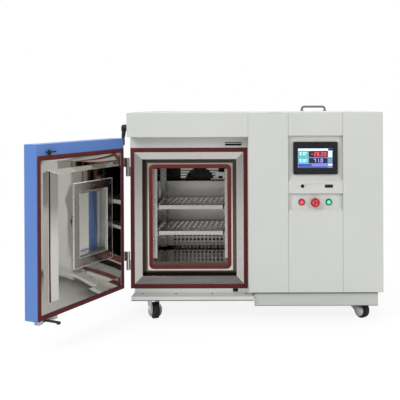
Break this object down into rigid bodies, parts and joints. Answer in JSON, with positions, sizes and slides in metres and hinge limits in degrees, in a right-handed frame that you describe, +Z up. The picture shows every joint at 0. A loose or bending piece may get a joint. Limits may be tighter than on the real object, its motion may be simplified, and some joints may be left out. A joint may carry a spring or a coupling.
{
  "type": "environmental test chamber",
  "caption": "Floor standing climate test chamber on castors, its blue windowed door open on a red sealed stainless interior with sliding shelves, and a touch panel column at its side.",
  "frame": {"origin": "on the floor, under the centre of the cabinet's 1160 by 806 mm footprint", "axes": "+X to the viewer's right across the front, +Y from the front towards the back, +Z up; the door stands open at 114.4 degrees"},
  "size_m": [1.4822, 1.2527, 0.987],
  "materials": {
    "cabinet_paint": "fine satin powder coat",
    "plinth_paint": "satin powder coat",
    "frame_paint": "matt paint",
    "door_paint": "satin powder coat",
    "stainless": "brushed",
    "stainless_bright": "polished",
    "dark_trim": "matt",
    "silicone_red": "satin silicone",
    "wool": "glass wool blanket",
    "fan_metal": "mill finish",
    "machinery": "gloss paint",
    "bezel_black": "semi gloss",
    "screen": "lit display",
    "pane": "clear",
    "collar_metal": "polished",
    "lens_red": "translucent lens",
    "estop_red": "moulded",
    "lens_green": "translucent lens",
    "handle_paint": "satin",
    "lever_black": "moulded",
    "port_white": "moulded",
    "castor_zinc": "zinc plated",
    "castor_tread": "rubber tread"
  },
  "bodies": {
    "cabinet": {"chamber_front": "cabinet_paint", "chamber_shell": "cabinet_paint", "fascia": "cabinet_paint", "machine_shell": "cabinet_paint", "front_panels": "cabinet_paint", "control_panel": "cabinet_paint", "rear_panel": "cabinet_paint", "skirt": "cabinet_paint", "plinth": "plinth_paint", "base_frame": "frame_paint", "liner": "stainless", "bezel_frame": "stainless", "air_baffle": "stainless", "shelf_rails": "stainless", "climate_sensor": "stainless", "hinge_leaves_cabinet": "stainless_bright", "thermal_breaker": "dark_trim", "latch_keeper": "dark_trim", "ports": "dark_trim", "cable_gland_cabinet": "dark_trim", "power_inlet": "dark_trim", "door_lead": "dark_trim", "seal_outer": "silicone_red", "seal_inner": "silicone_red", "insulation": "wool", "heater": "fan_metal", "evaporator": "fan_metal", "fan_motor": "machinery", "refrigeration": "machinery", "screen_bezel": "bezel_black", "screen_glass": "screen", "button_collars": "collar_metal", "lifting_handle": "handle_paint", "cable_port": "port_white"},
    "door": {"door_shell": "door_paint", "door_liner": "stainless_bright", "door_seal": "silicone_red", "window_glass": "pane", "window_frame": "stainless", "hinge_leaves_door": "stainless_bright", "latch_bracket": "stainless", "handle_plate": "lever_black", "cable_gland_door": "dark_trim"},
    "shelf_upper_tray": {"shelf_upper": "stainless"},
    "shelf_lower_tray": {"shelf_lower": "stainless"},
    "fan": {"fan_wheel": "fan_metal"},
    "red_button": {"button_red": "lens_red"},
    "estop_button": {"button_estop": "estop_red"},
    "green_button": {"button_green": "lens_green"},
    "handle": {"handle_lever": "lever_black"},
    "tongue": {"latch_tongue": "dark_trim"},
    "hook": {"latch_hook": "dark_trim"},
    "fork_front_left": {"castor_fork_front_left": "castor_zinc"},
    "wheel_front_left": {"castor_wheel_front_left": "castor_tread"},
    "fork_front_right": {"castor_fork_front_right": "castor_zinc"},
    "wheel_front_right": {"castor_wheel_front_right": "castor_tread"},
    "fork_rear_left": {"castor_fork_rear_left": "castor_zinc"},
    "wheel_rear_left": {"castor_wheel_rear_left": "castor_tread"},
    "fork_rear_right": {"castor_fork_rear_right": "castor_zinc"},
    "wheel_rear_right": {"castor_wheel_rear_right": "castor_tread"}
  },
  "joints": [
    {"name": "door_hinge", "type": "hinge", "parent": "cabinet", "child": "door", "pos_m": [-0.5935, -0.3197, 0.142], "axis": [0, 0, 1], "range_deg": [-45.6, 114.4], "deforming": ["door_lead"]},
    {"name": "handle_turn", "type": "hinge", "parent": "door", "child": "handle", "pos_m": [-0.86199, -0.71236, 0.47], "axis": [-0.9107, 0.4131, 0], "range_deg": [0, 90]},
    {"name": "tongue_lift", "type": "slide", "parent": "door", "child": "tongue", "axis": [0, 0, 1], "range_m": [0, 0.0035]},
    {"name": "hook_drop", "type": "hinge", "parent": "door", "child": "hook", "pos_m": [-0.8238, -0.76372, 0.1335], "axis": [0.4131, 0.9107, 0], "range_deg": [0, 8]},
    {"name": "upper_shelf_slide", "type": "slide", "parent": "cabinet", "child": "shelf_upper_tray", "axis": [0, 1, 0], "range_m": [-0.25, 0]},
    {"name": "lower_shelf_slide", "type": "slide", "parent": "cabinet", "child": "shelf_lower_tray", "axis": [0, 1, 0], "range_m": [-0.25, 0]},
    {"name": "fan_spin", "type": "hinge", "parent": "cabinet", "child": "fan", "pos_m": [-0.308, 0.067, 0.59], "axis": [0, 1, 0], "continuous": true},
    {"name": "red_button_press", "type": "slide", "parent": "cabinet", "child": "red_button", "axis": [0, 1, 0], "range_m": [0, 0.003], "stiffness_N_per_m": 400, "springref_m": -0.002},
    {"name": "estop_press", "type": "slide", "parent": "cabinet", "child": "estop_button", "axis": [0, 1, 0], "range_m": [0, 0.004], "stiffness_N_per_m": 600, "springref_m": -0.002},
    {"name": "green_button_press", "type": "slide", "parent": "cabinet", "child": "green_button", "axis": [0, 1, 0], "range_m": [0, 0.003], "stiffness_N_per_m": 400, "springref_m": -0.002},
    {"name": "swivel_front_left", "type": "hinge", "parent": "cabinet", "child": "fork_front_left", "pos_m": [-0.482, -0.289, 0.09], "axis": [0, 0, 1], "continuous": true},
    {"name": "roll_front_left", "type": "hinge", "parent": "fork_front_left", "child": "wheel_front_left", "pos_m": [-0.47059, -0.31347, 0.0375], "axis": [0.9063, 0.4226, 0], "continuous": true},
    {"name": "swivel_front_right", "type": "hinge", "parent": "cabinet", "child": "fork_front_right", "pos_m": [0.475, -0.289, 0.09], "axis": [0, 0, 1], "continuous": true},
    {"name": "roll_front_right", "type": "hinge", "parent": "fork_front_right", "child": "wheel_front_right", "pos_m": [0.49235, -0.30968, 0.0375], "axis": [0.766, 0.6428, 0], "continuous": true},
    {"name": "swivel_rear_left", "type": "hinge", "parent": "cabinet", "child": "fork_rear_left", "pos_m": [-0.482, 0.289, 0.09], "axis": [0, 0, 1], "continuous": true},
    {"name": "roll_rear_left", "type": "hinge", "parent": "fork_rear_left", "child": "wheel_rear_left", "pos_m": [-0.48669, 0.26241, 0.0375], "axis": [0.9848, -0.1736, 0], "continuous": true},
    {"name": "swivel_rear_right", "type": "hinge", "parent": "cabinet", "child": "fork_rear_right", "pos_m": [0.475, 0.289, 0.09], "axis": [0, 0, 1], "continuous": true},
    {"name": "roll_rear_right", "type": "hinge", "parent": "fork_rear_right", "child": "wheel_rear_right", "pos_m": [0.48061, 0.26259, 0.0375], "axis": [0.9781, 0.2079, 0], "continuous": true}
  ],
  "couplings": [
    {"joint": "tongue_lift", "follows": "handle_turn", "m_per_rad": 0.0022282},
    {"joint": "hook_drop", "follows": "handle_turn", "ratio": 0.088889}
  ]
}
